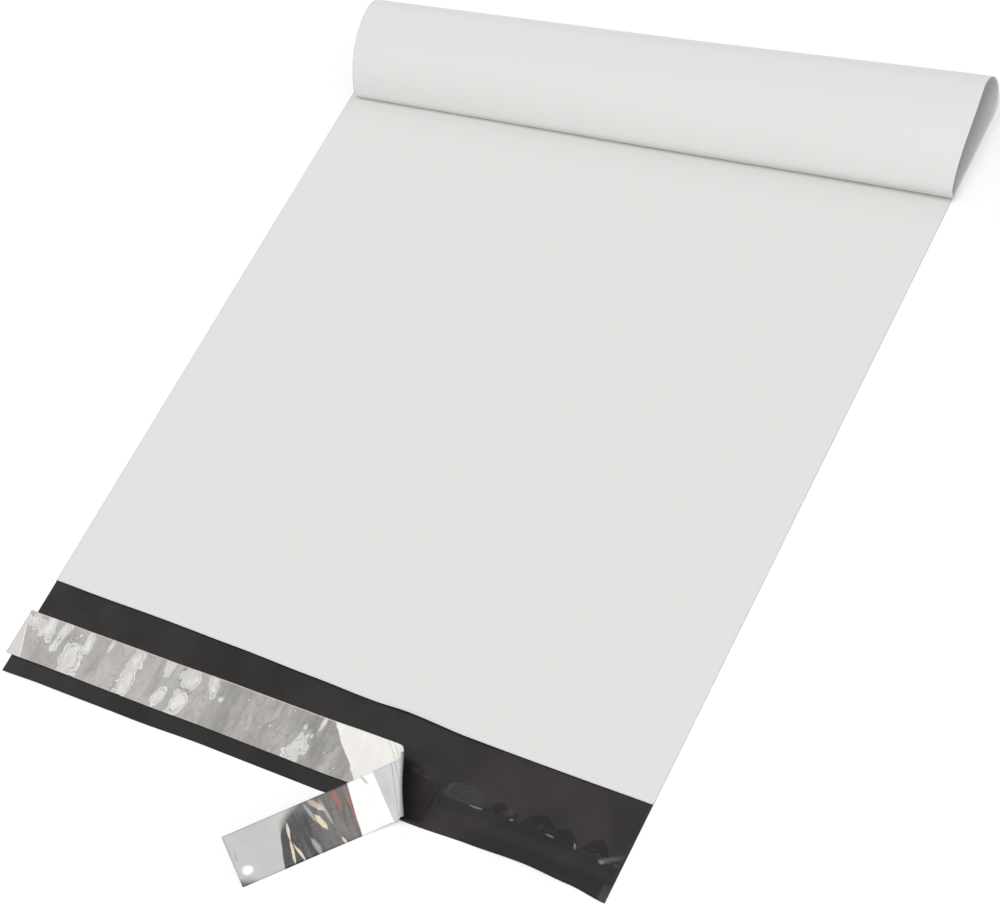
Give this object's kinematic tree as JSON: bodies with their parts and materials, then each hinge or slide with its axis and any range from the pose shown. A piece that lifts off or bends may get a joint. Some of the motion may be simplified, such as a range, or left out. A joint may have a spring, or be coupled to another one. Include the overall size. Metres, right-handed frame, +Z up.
{
  "type": "poly mailer bag",
  "caption": "Flat plastic film mailer, white outside and black inside, flap open, release liner half peeled, closed end curled over onto the front panel.",
  "frame": {"origin": "on the surface the bag lies on, below the middle of the mouth, where the flap begins", "axes": "+X to the right across the bag as seen from the flap, +Y from the mouth towards the closed end, +Z up"},
  "size_m": [0.3777, 0.4962, 0.0285],
  "materials": {
    "film": "semi-gloss polyethylene film, white outside and black inside",
    "adhesive": "clear hot-melt adhesive, glossy and wrinkled, dark over the black flap",
    "liner": "glossy silvery release film"
  },
  "bodies": {
    "root": {"bag": "film", "adhesive_strip": "adhesive", "release_liner": "liner"}
  },
  "joints": []
}
